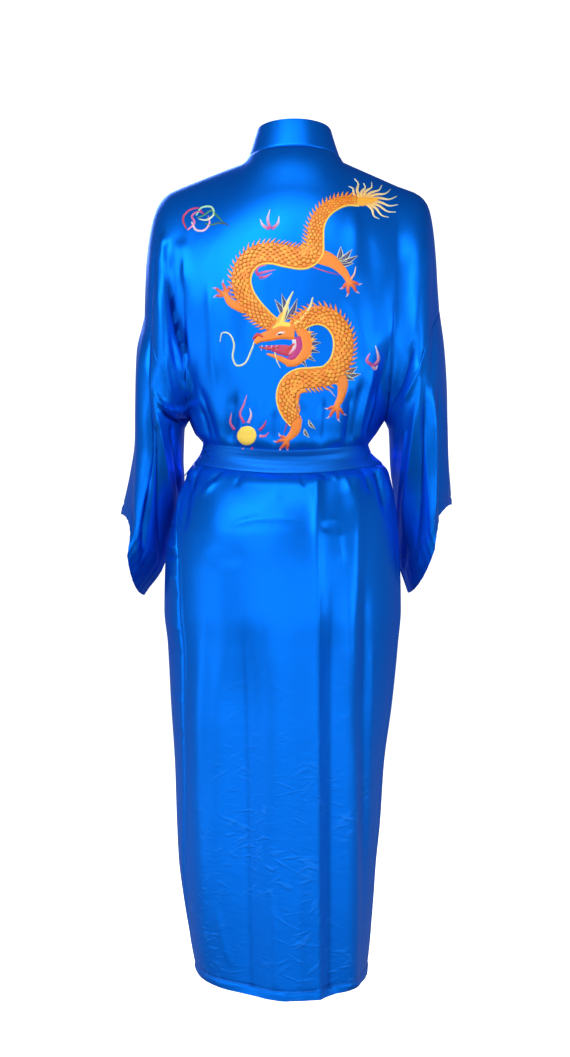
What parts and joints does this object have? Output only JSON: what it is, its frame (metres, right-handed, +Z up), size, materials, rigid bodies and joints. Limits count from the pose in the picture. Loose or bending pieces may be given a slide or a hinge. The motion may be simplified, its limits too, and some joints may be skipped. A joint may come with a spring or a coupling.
{
  "type": "kimono robe",
  "caption": "Full length satin wrap robe with wide kimono sleeves, a standing neckband and a tied sash, held in the hollow shape of a wearer.",
  "frame": {"origin": "middle of the neck opening at the height of the shoulders, where the wearer carries the robe", "axes": "+Z up along the body, +X to the wearer's left, the back of the robe faces +Y and its wrapped front faces -Y"},
  "size_m": [0.503, 0.2826, 1.2644],
  "materials": {
    "satin": "smooth royal blue satin with a soft sheen",
    "sash_satin": "the same satin, crinkled where it is tied"
  },
  "bodies": {
    "root": {"back": "satin", "front_left": "satin", "front_right": "satin", "sleeve_left": "satin", "sleeve_right": "satin", "neckband": "satin", "belt": "sash_satin", "belt_knot": "sash_satin", "belt_end_left": "sash_satin", "belt_end_right": "sash_satin"}
  },
  "joints": []
}
